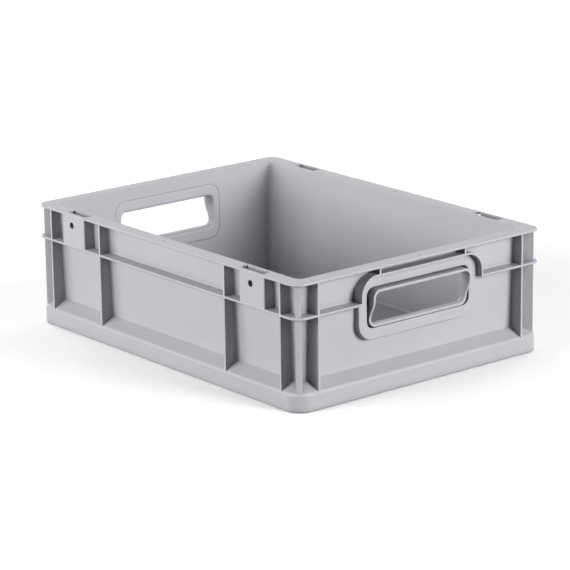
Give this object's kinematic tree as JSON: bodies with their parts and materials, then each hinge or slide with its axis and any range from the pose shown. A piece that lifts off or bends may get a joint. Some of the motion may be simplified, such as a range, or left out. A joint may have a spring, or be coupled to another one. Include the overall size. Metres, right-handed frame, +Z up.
{
  "type": "stacking storage crate",
  "caption": "Open-topped stacking storage crate with ribbed walls, a flanged rim, lid-hinge pads and a framed hand grip through each short wall.",
  "frame": {"origin": "centre of the footprint, on the plane that the crate rests on", "axes": "+X along the long side, +Y along the short side, +Z up, out of the open top"},
  "size_m": [0.4, 0.3, 0.12],
  "materials": {
    "body": "satin light grey, fine moulded texture",
    "grip": "satin light grey"
  },
  "bodies": {
    "root": {"crate_body": "body", "grip_insert_right": "grip", "grip_insert_left": "grip"}
  },
  "joints": []
}
